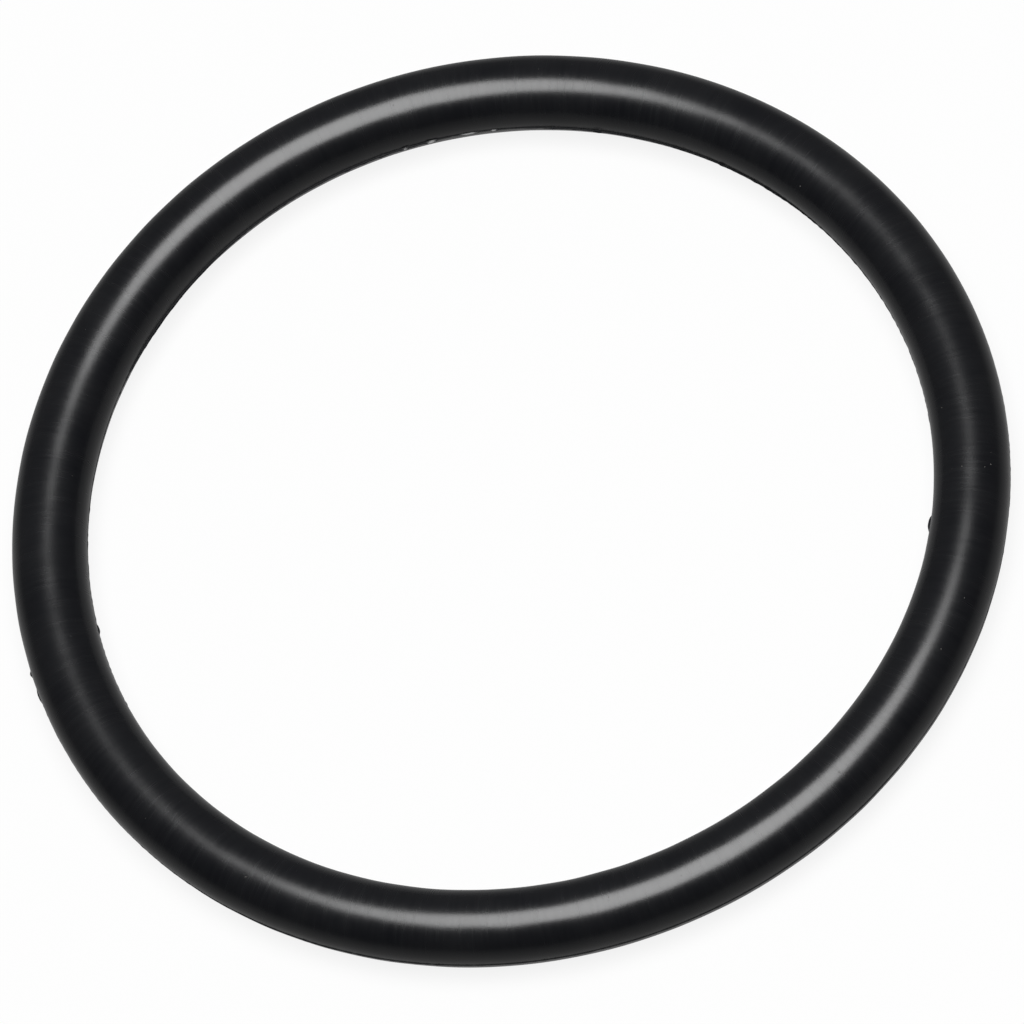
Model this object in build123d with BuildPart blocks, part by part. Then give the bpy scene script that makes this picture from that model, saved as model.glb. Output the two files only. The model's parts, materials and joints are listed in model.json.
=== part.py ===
from build123d import *
import os

# A rubber O-ring, compression moulded in one piece from a two-part mould.
# It lies flat. The origin is the centre of the ring at half its thickness, and +Z is its axis.
# The mould's parting plane is Z = 0, and leaves a thin film of flash around the hole and the rim.

# Driving dimensions, in millimetres
inside_diameter = 60.0  # across the hole, measured to the round section, not to the flash
cord_diameter = 5.3  # thickness of the round section
inside_flash_height = 0.15  # how far the trimmed flash stands proud into the hole
outside_flash_height = 0.15  # how far it stands proud around the rim
flash_thickness = 0.12  # thickness of the flash along Z

# Worked out from the driving dimensions
cord_radius = cord_diameter / 2
spine_radius = inside_diameter / 2 + cord_radius  # circle that the section's centre follows
inside_land_radius = inside_diameter / 2 - inside_flash_height
outside_land_radius = inside_diameter / 2 + cord_diameter + outside_flash_height

os.makedirs("parts", exist_ok=True)

# The ring: one round section with the flash through its middle, turned once about the axis
with BuildPart() as o_ring:
    with BuildSketch(Plane.XZ) as section:
        with Locations((spine_radius, 0)):
            Circle(cord_radius)
        with Locations(((inside_land_radius + outside_land_radius) / 2, 0)):
            Rectangle(outside_land_radius - inside_land_radius, flash_thickness)
    revolve(axis=Axis.Z)

o_ring.part.label = "o_ring"
export_step(o_ring.part, "parts/o_ring.step")
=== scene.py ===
import json
import math
import bpy
import numpy as np
from mathutils import Matrix, Vector


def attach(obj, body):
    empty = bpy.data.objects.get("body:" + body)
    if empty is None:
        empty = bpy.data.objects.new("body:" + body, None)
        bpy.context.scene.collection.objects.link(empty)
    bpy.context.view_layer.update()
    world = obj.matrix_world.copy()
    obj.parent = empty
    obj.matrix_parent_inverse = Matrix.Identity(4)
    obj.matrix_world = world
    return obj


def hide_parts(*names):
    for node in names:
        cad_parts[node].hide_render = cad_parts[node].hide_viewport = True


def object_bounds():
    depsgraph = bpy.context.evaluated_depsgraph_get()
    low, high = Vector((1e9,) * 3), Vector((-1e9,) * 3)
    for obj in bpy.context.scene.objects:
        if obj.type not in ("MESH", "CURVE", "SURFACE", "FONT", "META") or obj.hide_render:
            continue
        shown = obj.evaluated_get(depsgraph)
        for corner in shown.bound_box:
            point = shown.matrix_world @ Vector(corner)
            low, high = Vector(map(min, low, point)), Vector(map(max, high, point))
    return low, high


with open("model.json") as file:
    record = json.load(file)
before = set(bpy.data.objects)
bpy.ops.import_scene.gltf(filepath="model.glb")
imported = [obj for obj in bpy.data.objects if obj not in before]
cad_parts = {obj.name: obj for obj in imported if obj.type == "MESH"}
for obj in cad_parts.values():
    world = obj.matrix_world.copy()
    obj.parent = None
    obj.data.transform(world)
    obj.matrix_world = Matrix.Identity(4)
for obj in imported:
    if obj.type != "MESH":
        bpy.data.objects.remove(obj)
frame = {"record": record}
cadLow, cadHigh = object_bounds()
print("frame loaded, CAD box", [round(v * 1000, 3) for v in (*cadLow, *cadHigh)], "mm")

mm = 0.001
mountByName = {m["name"]: m for m in frame["record"]["mounts"]}
holeLandRadius = mountByName["hole_land"]["dims"]["r_mm"] * mm
rimLandRadius = mountByName["rim_land"]["dims"]["r_mm"] * mm
spineRadius = (holeLandRadius + rimLandRadius) / 2  # circle through the middle of the round section
cordRadius = cadHigh.z  # half the ring's thickness


# Smooth random wave round the ring: a sum of cosines of whole numbers of waves, so that it closes.
# It is scaled to a standard deviation of 1.
def ringNoise(azimuth, fewestWaves, mostWaves, seed):
    rng = np.random.default_rng(seed)
    waves = np.arange(fewestWaves, mostWaves + 1)
    phase = rng.uniform(0, 2 * math.pi, waves.size)
    weight = rng.normal(1, 0.3, waves.size)  # uneven, so that no one wave stands out
    total = (weight[:, None] * np.cos(waves[:, None] * azimuth + phase[:, None])).sum(axis=0)
    return total / total.std()


# The same in two directions: cosines of n waves round the ring and m round the section, with random n, m
# and phase.
def skinNoise(azimuth, section, wavesRound, wavesAcross, count, seed):
    rng = np.random.default_rng(seed)
    n = rng.integers(wavesRound[0], wavesRound[1] + 1, count)
    m = rng.integers(-wavesAcross, wavesAcross + 1, count)
    phase = rng.uniform(0, 2 * math.pi, count)
    alongRing = np.exp(1j * n[:, None] * azimuth)
    acrossSection = np.exp(1j * (m[:, None] * section + phase[:, None]))
    total = np.einsum("ws,wa->sa", acrossSection, alongRing).real
    return total / total.std()


# Sum of bumps round the ring: value * (1 - (arc distance / half length) ^ 2) inside each, and nothing
# outside it.
def ringBumps(azimuth, bumps, key):
    centre = np.radians([b["azimuth"] for b in bumps])
    halfLength = np.array([b["length"] for b in bumps]) * mm / 2
    value = np.array([b[key] for b in bumps]) * mm
    apart = (azimuth[None, :] - centre[:, None] + math.pi) % (2 * math.pi) - math.pi
    share = apart * spineRadius / halfLength[:, None]
    return (value[:, None] * np.clip(1 - share ** 2, 0, None)).sum(axis=0)


# A mesh from a grid of points that closes on itself both ways: rows run round the section.
def meshFromClosedGrid(name, points):
    rows, columns = points.shape[:2]
    i, j = np.meshgrid(np.arange(rows), np.arange(columns), indexing="ij")
    nextI, nextJ = (i + 1) % rows, (j + 1) % columns
    thisRow, nextRow = i * columns, nextI * columns
    quads = np.stack([thisRow + j, thisRow + nextJ, nextRow + nextJ, nextRow + j], -1)
    mesh = bpy.data.meshes.new(name)
    mesh.from_pydata(points.reshape(-1, 3), [], quads.reshape(-1, 4))
    mesh.update()
    piece = bpy.data.objects.new(name, mesh)
    bpy.context.scene.collection.objects.link(piece)
    return piece


def newMaterial(name):
    material = bpy.data.materials.new(name)
    material.use_nodes = True
    nodes = material.node_tree.nodes
    nodes.clear()
    output = nodes.new("ShaderNodeOutputMaterial")
    shader = nodes.new("ShaderNodeBsdfPrincipled")
    material.node_tree.links.new(shader.outputs["BSDF"], output.inputs["Surface"])
    return material, nodes, material.node_tree.links, shader


# Black rubber from a mould: a satin skin with fine marks across the section, a micro grain and a few pits.
rubberFinish = {
    "blackTone": (0.0038, 0.0042, 0.0058, 1),
    "greyTone": (0.0088, 0.0092, 0.0106, 1),  # where the skin has a faint bloom
    "bloomPatches": 260,  # patches per metre
    "ior": 1.55,
    "roughness": (0.24, 0.28),  # between the shiniest and the dullest places
    "markPitch": 0.28,  # mm between the marks left by polishing the mould
    "markDepth": 0.0010,  # mm
    "grainSize": 0.13,  # mm
    "grainDepth": 0.0014,  # mm
    "pitSpacing": 1.9,  # mm
    "pitSize": 0.10,  # mm
    "pitDepth": 0.010,  # mm
    "markNoise": (2, 0.55),  # detail and roughness of each noise
    "bloomNoise": (4, 0.6),
    "grainNoise": (2, 0.5),
    "noiseSpan": (0.3, 0.7),  # the stretch of the noise that the tones run over
    "bloomShare": 0.75,  # how far the bloom takes the tone towards grey
    "markShare": 0.25,  # and how far the mould marks do
}


# Bump node whose height of 1 stands for depth millimetres.
def addBump(nodes, links, height, depth, below=None):
    bump = nodes.new("ShaderNodeBump")
    bump.inputs["Distance"].default_value = depth * mm
    links.new(height, bump.inputs["Height"])
    if below:
        links.new(below, bump.inputs["Normal"])
    return bump.outputs["Normal"]


def addNoise(nodes, links, place, scale, detail, roughness):
    noise = nodes.new("ShaderNodeTexNoise")
    noise.inputs["Scale"].default_value = scale
    noise.inputs["Detail"].default_value = detail
    noise.inputs["Roughness"].default_value = roughness
    links.new(place, noise.inputs["Vector"])
    return noise.outputs["Fac"]


def addRange(nodes, links, value, low, high, outLow, outHigh):
    span = nodes.new("ShaderNodeMapRange")
    span.inputs["From Min"].default_value = low
    span.inputs["From Max"].default_value = high
    span.inputs["To Min"].default_value = outLow
    span.inputs["To Max"].default_value = outHigh
    links.new(value, span.inputs["Value"])
    return span.outputs["Result"]


def addMath(nodes, links, operation, first, second):
    step = nodes.new("ShaderNodeMath")
    step.operation = operation
    for socket, value in zip(step.inputs, (first, second)):
        if isinstance(value, (int, float)):
            socket.default_value = value
        else:
            links.new(value, socket)
    return step.outputs["Value"]


def makeRubber():
    material, nodes, links, shader = newMaterial("mouldedRubber")
    finish = rubberFinish
    place = nodes.new("ShaderNodeTexCoord").outputs["Object"]
    streak = nodes.new("ShaderNodeAttribute")
    streak.attribute_name = "streakPlace"
    markPlace = streak.outputs["Vector"]
    marks = addNoise(nodes, links, markPlace, 1 / (finish["markPitch"] * mm), *finish["markNoise"])
    bloom = addNoise(nodes, links, place, finish["bloomPatches"], *finish["bloomNoise"])
    grain = addNoise(nodes, links, place, 1 / (finish["grainSize"] * mm), *finish["grainNoise"])
    tone = nodes.new("ShaderNodeMix")
    tone.data_type = "RGBA"
    tone.inputs["A"].default_value = finish["blackTone"]
    tone.inputs["B"].default_value = finish["greyTone"]
    patchy = addRange(nodes, links, bloom, *finish["noiseSpan"], 0, finish["bloomShare"])
    streaky = addRange(nodes, links, marks, *finish["noiseSpan"], 0, finish["markShare"])
    links.new(addMath(nodes, links, "ADD", patchy, streaky), tone.inputs["Factor"])
    links.new(tone.outputs["Result"], shader.inputs["Base Color"])
    byMarks = addRange(nodes, links, marks, *finish["noiseSpan"], *finish["roughness"])
    links.new(byMarks, shader.inputs["Roughness"])
    shader.inputs["IOR"].default_value = finish["ior"]
    pits = nodes.new("ShaderNodeTexVoronoi")
    pits.inputs["Scale"].default_value = 1 / (finish["pitSpacing"] * mm)
    links.new(place, pits.inputs["Vector"])
    pitShare = finish["pitSize"] / 2 / finish["pitSpacing"]
    hollow = addRange(nodes, links, pits.outputs["Distance"], 0, pitShare, 0, 1)
    normal = addBump(nodes, links, marks, finish["markDepth"])
    normal = addBump(nodes, links, grain, finish["grainDepth"], normal)
    normal = addBump(nodes, links, hollow, finish["pitDepth"], normal)
    links.new(normal, shader.inputs["Normal"])
    return material


ringShape = {
    "columns": 1640,  # steps round the ring
    "arcRows": 26,  # rows over the top half of the section, and as many below
    "crowding": 0.6,  # how much closer the rows lie near the flash, from 0 to 1
    "wander": 0.004,  # mm, how far the moulded skin wanders from a true round
    "wanderWaves": (10, 60),  # waves round the ring
    "wanderAcross": 6,  # most waves round the section
    "wanderCount": 90,  # waves summed
    "wanderSeed": 5,
    "spread": 0.03,  # mm, how much wider than high the section sits, on each side
    "partingDrop": 0.23,  # mm from the middle of the section down to the parting line
    "filmThickness": 0.05,  # mm
    "filmCurl": 0.22,  # how far the film rises, as a share of how far it stands out
    "filmMiddle": 0.55,  # share of the reach at which its middle rows lie
    "middleFall": 0.5,  # share of the tip's fall there
    "filmFaces": (1.0, 1.0, -0.2, -0.7),  # height of its four rows, in halves of its thickness
    "filmLeast": 0.01,  # mm, the shortest it is trimmed to
    "rippleWaves": (40, 380),  # waves round the ring in the film's edge
    "sagWaves": (10, 160),  # and in its sag
    "markSection": 0.25,  # mm, radius of the section on which the mould marks are laid out
}
# how far the ring is out of round, as shares of its radius: (waves round the ring, cosine, sine)
outOfRound = [(3, 0.00081, -0.00206), (4, 0.00004, 0.00086), (5, -0.00015, -0.00022)]

# Film of flash standing out at the parting line. Heights are in mm at azimuths in degrees, and run evenly
# between them. A scrap is a flap left on the film: its length, how far it stands past the film, and how
# far its tip hangs, all in mm.
insideFlash = {
    "heights": [
        (0, 0.025), (24, 0.05), (34, 0.13), (66, 0.15), (71, 0.07), (80, 0.07), (84, 0.16), (112, 0.18),
        (120, 0.22), (131, 0.21), (139, 0.02), (180, 0.02), (270, 0.03),
    ],
    "ripple": 0.010,
    "sag": 0.0008,
    "seed": 11,
    "sagSeed": 111,
    "scraps": [
        {"azimuth": 94.7, "length": 0.6, "height": 0.05, "droop": 0.02},
        {"azimuth": 92.2, "length": 0.6, "height": 0.02, "droop": 0.03},
        {"azimuth": 89.5, "length": 0.7, "height": 0.03, "droop": 0.03},
        {"azimuth": 86.3, "length": 0.6, "height": 0.03, "droop": 0.07},
        {"azimuth": 82.6, "length": 1.0, "height": 0.06, "droop": 0.09},
        {"azimuth": 77.3, "length": 1.7, "height": 0.03, "droop": 0.05},
        {"azimuth": 73.9, "length": 0.6, "height": 0.03, "droop": 0.05},
        {"azimuth": 59.5, "length": 0.8, "height": 0.11, "droop": -0.02},
        {"azimuth": 41.0, "length": 0.7, "height": 0.05, "droop": -0.02},
        {"azimuth": 334.3, "length": 1.7, "height": 0.23, "droop": -0.02},
        {"azimuth": 176.2, "length": 0.9, "height": 0.09, "droop": 0.02},
    ],
}
outsideFlash = {
    "heights": [(0, 0.01), (204, 0.01), (212, 0.03), (226, 0.065), (300, 0.065), (306, 0.015), (352, 0.01)],
    "ripple": 0.008,
    "sag": 0.0008,
    "seed": 12,
    "sagSeed": 112,
    "scraps": [
        {"azimuth": 179.2, "length": 0.5, "height": 0.12, "droop": 0.0},
        {"azimuth": 182.2, "length": 1.2, "height": 0.09, "droop": 0.0},
        {"azimuth": 23.0, "length": 0.3, "height": 0.08, "droop": 0.02},
    ],
}


# Radius of the spine at each azimuth: the true circle, let out and drawn in by a few whole waves.
def spineAt(azimuth):
    waves = (c * np.cos(n * azimuth) + s * np.sin(n * azimuth) for n, c, s in outOfRound)
    return spineRadius * (1 + sum(waves))


# Radius of the section: the round, less room for the wander.
def sectionAt(azimuth, section):
    wander = ringShape["wander"] * mm
    wavesRound, wavesAcross = ringShape["wanderWaves"], ringShape["wanderAcross"]
    count, seed = ringShape["wanderCount"], ringShape["wanderSeed"]
    skin = skinNoise(azimuth, section, wavesRound, wavesAcross, count, seed) * wander
    return np.minimum(cordRadius - 2 * wander + skin, cordRadius)


# How far the film stands out at each azimuth: its trimmed height, a ripple and the scraps.
def filmReach(azimuth, flash):
    marks, heights = np.array(flash["heights"]).T
    trimmed = np.interp(np.degrees(azimuth), marks, heights, period=360) * mm
    ripple = ringNoise(azimuth, *ringShape["rippleWaves"], flash["seed"]) * flash["ripple"] * mm
    trimmed = np.maximum(trimmed + ripple, ringShape["filmLeast"] * mm)
    return trimmed + ringBumps(azimuth, flash["scraps"], "height")


# How far the film's tip falls: a slight sag and the scraps' droop, less its curl.
def filmFall(azimuth, flash, reach):
    sag = ringNoise(azimuth, *ringShape["sagWaves"], flash["sagSeed"]) * flash["sag"] * mm
    return sag + ringBumps(azimuth, flash["scraps"], "droop") - ringShape["filmCurl"] * reach


# Ring surface: point = rho (cos a, sin a), z, for azimuth a and section angle s, 0 at the rim and pi at
# the hole. On the skin rho = R(a) + (r(a, s) + spread) cos s and z = r(a, s) sin s. The film adds four
# rows at each parting line, out to its middle and its tip and back: flat on top, tapered underneath,
# and falling by filmFall at the tip.
def makeRing():
    azimuth = np.linspace(0, 2 * math.pi, ringShape["columns"], endpoint=False)
    half = ringShape["filmThickness"] * mm / 2
    root = math.asin(half / cordRadius)
    drop = math.asin(ringShape["partingDrop"] * mm / cordRadius)
    step = np.linspace(0, 1, ringShape["arcRows"])
    crowded = step - ringShape["crowding"] * np.sin(2 * math.pi * step) / (2 * math.pi)
    overTop = root - drop + (math.pi - 2 * root + 2 * drop) * crowded
    underneath = math.pi + root + drop + (math.pi - 2 * root - 2 * drop) * crowded
    skinRows = np.concatenate([overTop, underneath])
    radius = sectionAt(azimuth, skinRows)
    spine = spineAt(azimuth)
    skinRho = spine + (radius + ringShape["spread"] * mm) * np.cos(skinRows)[:, None]
    skinZ = radius * np.sin(skinRows)[:, None]
    arcRows = ringShape["arcRows"]

    # four rows of film: out over the top to the tip, and back underneath
    def film(side, flash, rootRho):
        reach = filmReach(azimuth, flash)
        fall = filmFall(azimuth, flash, reach)
        middle = ringShape["filmMiddle"] * reach
        outward = np.stack([middle, reach, reach, middle]) * side
        faces = np.array(ringShape["filmFaces"])[:, None] * half - ringShape["partingDrop"] * mm
        middleFall = ringShape["middleFall"] * fall
        return rootRho + outward, faces - np.stack([middleFall, fall, fall, middleFall])

    holeRho, holeZ = film(-1, insideFlash, skinRho[arcRows - 1])
    rimRho, rimZ = film(1, outsideFlash, skinRho[-1])
    rimRho, rimZ = rimRho[::-1], rimZ[::-1]
    rho = np.concatenate([skinRho[:arcRows], holeRho, skinRho[arcRows:], rimRho])
    z = np.concatenate([skinZ[:arcRows], holeZ, skinZ[arcRows:], rimZ])
    rho = np.minimum(rho, rimLandRadius)
    points = np.stack([rho * np.cos(azimuth), rho * np.sin(azimuth), z], -1)
    ring = meshFromClosedGrid("mouldedRing", points)

    # the skin is smooth, the film keeps its sharp edges
    onSkin = np.ones(rho.shape[0], dtype=bool)
    onSkin[arcRows - 1:arcRows + 4] = False
    onSkin[-5:] = False
    ring.data.polygons.foreach_set("use_smooth", np.repeat(onSkin, azimuth.size))

    # mould marks are laid out on a ring with a far thinner section, which draws them out across this one
    rows = np.arctan2(z, rho - spine)
    thin = ringShape["markSection"] * mm
    laid = spineRadius + thin * np.cos(rows)
    laidOut = np.stack([laid * np.cos(azimuth), laid * np.sin(azimuth), thin * np.sin(rows)], -1)
    streak = ring.data.attributes.new("streakPlace", "FLOAT_VECTOR", "POINT")
    streak.data.foreach_set("vector", laidOut.ravel())
    return ring


rubber = makeRubber()
ring = makeRing()
ring.data.materials.append(rubber)
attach(ring, "root")
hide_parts("o_ring")
print("ring made,", len(ring.data.polygons), "faces")


# Dust and lint on the skin: (azimuth, section angle, length, width, turn from the ring's run), in degrees
# and mm.
dust = {
    "colour": (0.15, 0.145, 0.135, 1),
    "roughness": 0.9,
    "thickness": 0.3,  # share of its width
    "shoulder": 0.7,  # where the smaller ring lies, as a share of the outline and of the height
    "bedded": 2.5,  # how deep it sits, in wanders of the skin
    "cloudPatches": 900,  # patches of tone per metre
    "cloudNoise": (2, 0.5),  # detail and roughness of the noise
    "cloudSpan": (0.35, 0.65),  # the stretch of it that the tones run over
    "darkShare": 0.35,  # the darkest tone as a share of the colour
    "fibres": 40000,  # per metre
    "fibreNoise": (3, 0.6),
    "fibreDepth": 0.01,  # mm
    "seen": [
        (78.0, 146, 0.20, 0.14, 20), (28.5, 135, 0.20, 0.10, 70), (155.0, 130, 0.16, 0.12, 0),
        (340.5, 53, 0.14, 0.11, 30), (340.0, 63, 0.12, 0.09, 0), (349.0, 126, 0.15, 0.10, 80),
        (316.0, 59, 0.18, 0.12, 45), (323.0, 57, 0.14, 0.10, 10), (220.0, 69, 0.19, 0.14, 60),
        (296.5, 72, 0.14, 0.10, 0), (340.0, 98, 0.14, 0.10, 50),
    ],
    "fineCount": 70,
    "fineSize": (0.025, 0.06),  # length, mm
    "fineWidth": (0.5, 1),  # share of its length
    "fineBand": (20, 160),  # section angles, degrees
    "outline": (0.7, 1.0),  # how uneven a fleck's edge is, as shares of its size
    "seed": 21,
    "sides": 8,
}


# Flecks as low domes: rim = centre + cos(t) along + sin(t) beside, a smaller ring above it, and a point
# on top and one under the skin.
def makeDust():
    rng = np.random.default_rng(dust["seed"])
    count = dust["fineCount"]
    fineLength = rng.uniform(*dust["fineSize"], count)
    fine = np.stack([
        rng.uniform(0, 360, count),
        rng.uniform(*dust["fineBand"], count),
        fineLength,
        fineLength * rng.uniform(*dust["fineWidth"], count),
        rng.uniform(0, 180, count),
    ], -1)
    flecks = np.concatenate([np.array(dust["seen"], dtype=float), fine])
    azimuth, section, turn = np.radians(flecks[:, [0, 1, 4]]).T
    length, width = flecks[:, 2] * mm / 2, flecks[:, 3] * mm / 2
    flat = np.cos(section)
    outward = np.stack([flat * np.cos(azimuth), flat * np.sin(azimuth), np.sin(section)], -1)
    around = np.stack([-np.sin(azimuth), np.cos(azimuth), np.zeros_like(azimuth)], -1)
    across = np.cross(outward, around)
    spine = spineAt(azimuth)
    middle = np.stack([spine * np.cos(azimuth), spine * np.sin(azimuth), np.zeros_like(azimuth)], -1)
    skin = cordRadius - dust["bedded"] * ringShape["wander"] * mm
    centre = middle + outward * skin
    along = around * np.cos(turn)[:, None] + across * np.sin(turn)[:, None]
    beside = np.cross(outward, along)
    sides = dust["sides"]
    t = np.linspace(0, 2 * math.pi, sides, endpoint=False)
    uneven = rng.uniform(*dust["outline"], (len(flecks), sides))
    x = np.cos(t) * uneven * length[:, None]
    y = np.sin(t) * uneven * width[:, None]
    high = width * dust["thickness"]

    # one ring of points, share of the full outline wide and lift high
    def ringOfPoints(share, lift):
        outline = x[..., None] * along[:, None] + y[..., None] * beside[:, None]
        return centre[:, None] + outline * share + (outward * lift[:, None])[:, None]

    under = (centre - outward * high[:, None])[:, None]
    over = (centre + outward * high[:, None])[:, None]
    outer = ringOfPoints(1, 0 * high)
    inner = ringOfPoints(dust["shoulder"], dust["shoulder"] * high)
    points = np.concatenate([under, outer, inner, over], axis=1)
    k = np.arange(sides)
    following = (k + 1) % sides
    top = 2 * sides + 1
    fans = np.concatenate([
        np.stack([0 * k, 1 + following, 1 + k], -1),
        np.stack([1 + k, 1 + following, 1 + sides + k], -1),
        np.stack([1 + following, 1 + sides + following, 1 + sides + k], -1),
        np.stack([1 + sides + k, 1 + sides + following, 0 * k + top], -1),
    ])
    faces = (np.arange(len(flecks)) * (top + 1))[:, None, None] + fans
    mesh = bpy.data.meshes.new("dustFlecks")
    mesh.from_pydata(points.reshape(-1, 3), [], faces.reshape(-1, 3))
    mesh.shade_smooth()
    mesh.update()
    piece = bpy.data.objects.new("dustFlecks", mesh)
    bpy.context.scene.collection.objects.link(piece)
    return piece


# Pale lint and mould powder, matt, each fleck a little lighter or darker.
def makeDustMaterial():
    material, nodes, links, shader = newMaterial("paleDust")
    place = nodes.new("ShaderNodeTexCoord").outputs["Object"]
    cloud = addNoise(nodes, links, place, dust["cloudPatches"], *dust["cloudNoise"])
    tone = nodes.new("ShaderNodeMix")
    tone.data_type = "RGBA"
    tone.inputs["A"].default_value = [dust["darkShare"] * c for c in dust["colour"][:3]] + [1]
    tone.inputs["B"].default_value = dust["colour"]
    links.new(addRange(nodes, links, cloud, *dust["cloudSpan"], 0, 1), tone.inputs["Factor"])
    links.new(tone.outputs["Result"], shader.inputs["Base Color"])
    shader.inputs["Roughness"].default_value = dust["roughness"]
    fibres = addNoise(nodes, links, place, dust["fibres"], *dust["fibreNoise"])
    links.new(addBump(nodes, links, fibres, dust["fibreDepth"]), shader.inputs["Normal"])
    return material


flecks = makeDust()
flecks.data.materials.append(makeDustMaterial())
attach(flecks, "root")
print("dust made,", len(flecks.data.polygons), "faces")


studio = {
    "floorSize": 6.0,  # metres, as are the lamp's height, centre and width
    "floorColour": (0.80, 0.80, 0.80, 1),
    "unseenColour": (0.05, 0.05, 0.05, 1),  # the floor for rays that don't see it as pale
    "whiteStrength": 0.97,  # of the background past the floor
    "shadowLift": 0.87,  # how much of the ring's shadow is lifted off the floor, 0 for none
    "paintedFloorGlow": 0.46,  # how strongly the rubber mirrors the floor right beside it: a painted glow on the floor round the ring, seen only in gloss
    "floorFade": 0.008,  # metres from the ring at which that painted glow has halved
    "roomInGloss": (0.045, 0.11),  # and the room above it, from the near side and from the far side
    "lampHeight": 1.1,
    "lampCentre": (0.038, -0.070),
    "lampWidth": (0.90, 0.92),
    "lampRadiance": 7.5,
}


# How much of the pale background a ray sees: all of it for the camera and through glass, a share in gloss.
def addSeenShare(nodes, links, inGloss):
    path = nodes.new("ShaderNodeLightPath")
    direct = addMath(nodes, links, "ADD", path.outputs["Is Camera Ray"], path.outputs["Is Transmission Ray"])
    mirrored = addMath(nodes, links, "MULTIPLY", path.outputs["Is Glossy Ray"], inGloss)
    return addMath(nodes, links, "MINIMUM", addMath(nodes, links, "ADD", direct, mirrored), 1)


# Painted pool of light on the floor round the ring, seen only in the rubber's gloss: share of the floor seen
# in gloss
# = paintedFloorGlow / (1 + d / floorFade), with d from the ring to that spot on the floor.
def addPaintedFloorGlow(nodes, links):
    place = nodes.new("ShaderNodeTexCoord").outputs["Object"]
    flat = nodes.new("ShaderNodeVectorMath")
    flat.operation = "MULTIPLY"
    flat.inputs[1].default_value = (1, 1, 0)
    links.new(place, flat.inputs[0])
    length = nodes.new("ShaderNodeVectorMath")
    length.operation = "LENGTH"
    links.new(flat.outputs["Vector"], length.inputs[0])
    fromSpine = addMath(nodes, links, "SUBTRACT", length.outputs["Value"], spineRadius)
    fromSpine = addMath(nodes, links, "ABSOLUTE", fromSpine, 0)
    fromRing = addMath(nodes, links, "MAXIMUM", addMath(nodes, links, "SUBTRACT", fromSpine, cordRadius), 0)
    spread = addMath(nodes, links, "ADD", addMath(nodes, links, "DIVIDE", fromRing, studio["floorFade"]), 1)
    return addMath(nodes, links, "DIVIDE", studio["paintedFloorGlow"], spread)


# Pale paper: matt and lit, so that it keeps the ring's shadow, with part of the shadow lifted by white.
def makeFloorMaterial():
    material = bpy.data.materials.new("palePaper")
    material.use_nodes = True
    nodes, links = material.node_tree.nodes, material.node_tree.links
    nodes.clear()
    output = nodes.new("ShaderNodeOutputMaterial")
    matt = nodes.new("ShaderNodeBsdfDiffuse")
    matt.inputs["Color"].default_value = studio["floorColour"]
    white = nodes.new("ShaderNodeEmission")
    white.inputs["Strength"].default_value = 1.0
    paper = nodes.new("ShaderNodeMixShader")
    paper.inputs["Fac"].default_value = studio["shadowLift"]
    unseen = nodes.new("ShaderNodeBsdfDiffuse")
    unseen.inputs["Color"].default_value = studio["unseenColour"]
    seen = nodes.new("ShaderNodeMixShader")
    # glossy rays see the floor through the painted glow round the ring
    links.new(addSeenShare(nodes, links, addPaintedFloorGlow(nodes, links)), seen.inputs["Fac"])
    links.new(matt.outputs["BSDF"], paper.inputs[1])
    links.new(white.outputs["Emission"], paper.inputs[2])
    links.new(unseen.outputs["BSDF"], seen.inputs[1])
    links.new(paper.outputs["Shader"], seen.inputs[2])
    links.new(seen.outputs["Shader"], output.inputs["Surface"])
    return material


def makeFloor():
    half = studio["floorSize"] / 2
    mesh = bpy.data.meshes.new("floor")
    corners = [(-half, -half), (half, -half), (half, half), (-half, half)]
    mesh.from_pydata([(*corner, cadLow.z) for corner in corners], [], [(0, 1, 2, 3)])
    mesh.materials.append(makeFloorMaterial())
    floor = bpy.data.objects.new("floor", mesh)
    bpy.context.scene.collection.objects.link(floor)


# One round softbox overhead. Power = radiance * pi * area.
def makeLamp():
    data = bpy.data.lights.new("overheadSoftbox", "AREA")
    data.shape = "ELLIPSE"
    data.size, data.size_y = studio["lampWidth"]
    area = math.pi * data.size * data.size_y / 4
    data.energy = studio["lampRadiance"] * math.pi * area
    lamp = bpy.data.objects.new("overheadSoftbox", data)
    lamp.location = (*studio["lampCentre"], studio["lampHeight"])
    bpy.context.scene.collection.objects.link(lamp)


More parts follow.
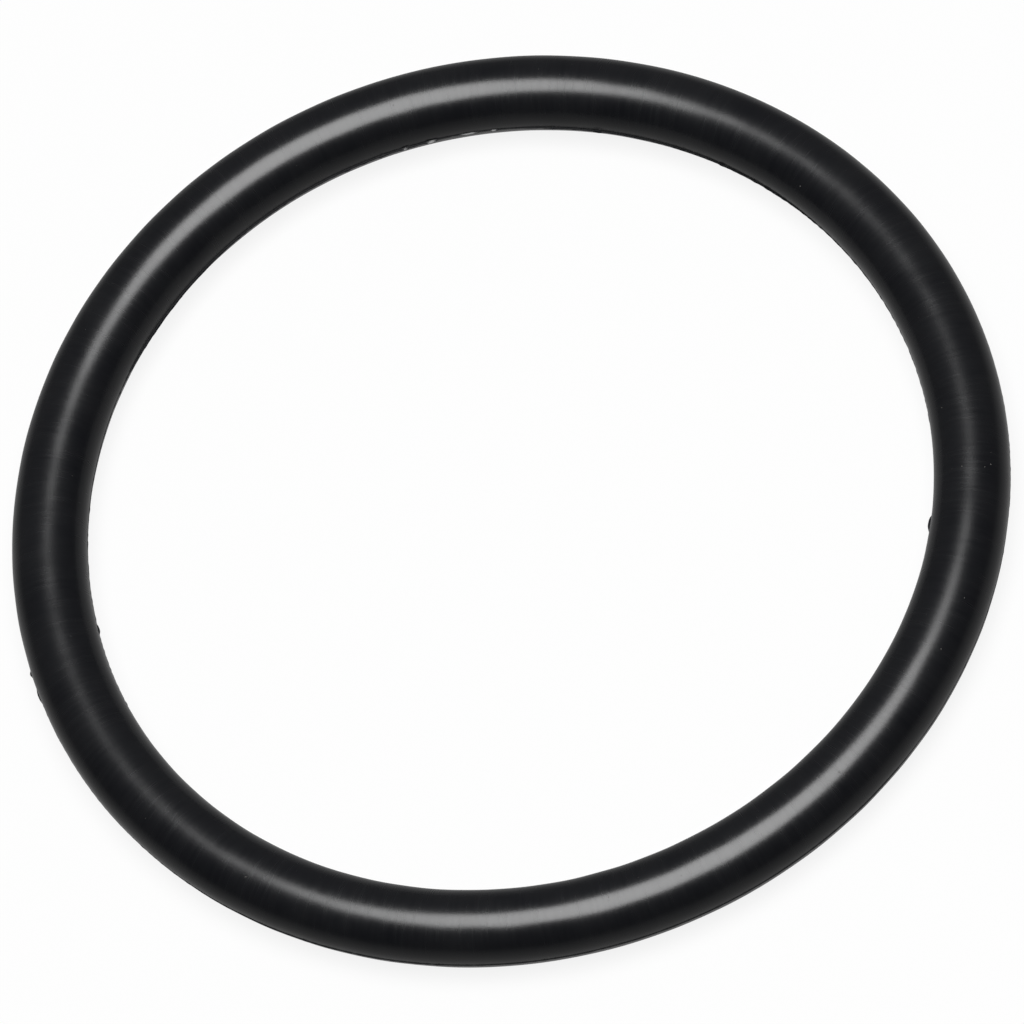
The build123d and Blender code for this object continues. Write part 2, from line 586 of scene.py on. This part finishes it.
# White past the floor's edge, and a dim room in the gloss.
def makeWorld():
    world = bpy.data.worlds.new("studioWorld")
    bpy.context.scene.world = world
    world.use_nodes = True
    nodes, links = world.node_tree.nodes, world.node_tree.links
    nodes.clear()
    output = nodes.new("ShaderNodeOutputWorld")
    white = nodes.new("ShaderNodeBackground")
    white.inputs["Color"].default_value = (1, 1, 1, 1)
    white.inputs["Strength"].default_value = studio["whiteStrength"]
    room = nodes.new("ShaderNodeBackground")
    room.inputs["Color"].default_value = (1, 1, 1, 1)
    way = nodes.new("ShaderNodeSeparateXYZ")
    links.new(nodes.new("ShaderNodeTexCoord").outputs["Generated"], way.inputs["Vector"])
    byWay = addRange(nodes, links, way.outputs["Y"], 0, 1, *studio["roomInGloss"])
    links.new(byWay, room.inputs["Strength"])
    mix = nodes.new("ShaderNodeMixShader")
    links.new(addSeenShare(nodes, links, 0), mix.inputs["Fac"])
    links.new(room.outputs["Background"], mix.inputs[1])
    links.new(white.outputs["Background"], mix.inputs[2])
    links.new(mix.outputs["Shader"], output.inputs["Surface"])


makeFloor()
makeLamp()
makeWorld()
print("studio made")

view = {
    "elevation": 61.51,
    "roll": -20.29,
    "distance": 25.84,  # in spine radii
    "lens": 424.97,  # mm
    "sensor": 36,  # mm
    "clip": (0.05, 20),  # metres
    "slide": (0.009816, -0.017861),  # right and up, in spine radii
}


def makeCamera():
    tilt = math.radians(view["elevation"])
    back = Vector((0, -math.cos(tilt), math.sin(tilt)))
    level = Vector((1, 0, 0))
    upright = back.cross(level)
    turn = math.radians(view["roll"])
    right = math.cos(turn) * level + math.sin(turn) * upright
    up = -math.sin(turn) * level + math.cos(turn) * upright
    place = (back * view["distance"] + right * view["slide"][0] + up * view["slide"][1]) * spineRadius
    data = bpy.data.cameras.new("camera")
    data.lens = view["lens"]
    data.sensor_width = view["sensor"]
    data.clip_start, data.clip_end = view["clip"]
    camera = bpy.data.objects.new("camera", data)
    camera.matrix_world = Matrix.Translation(place) @ Matrix((right, up, back)).transposed().to_4x4()
    bpy.context.scene.collection.objects.link(camera)
    bpy.context.scene.camera = camera


makeCamera()
bpy.context.scene.view_settings.view_transform = "Standard"
print("camera set")
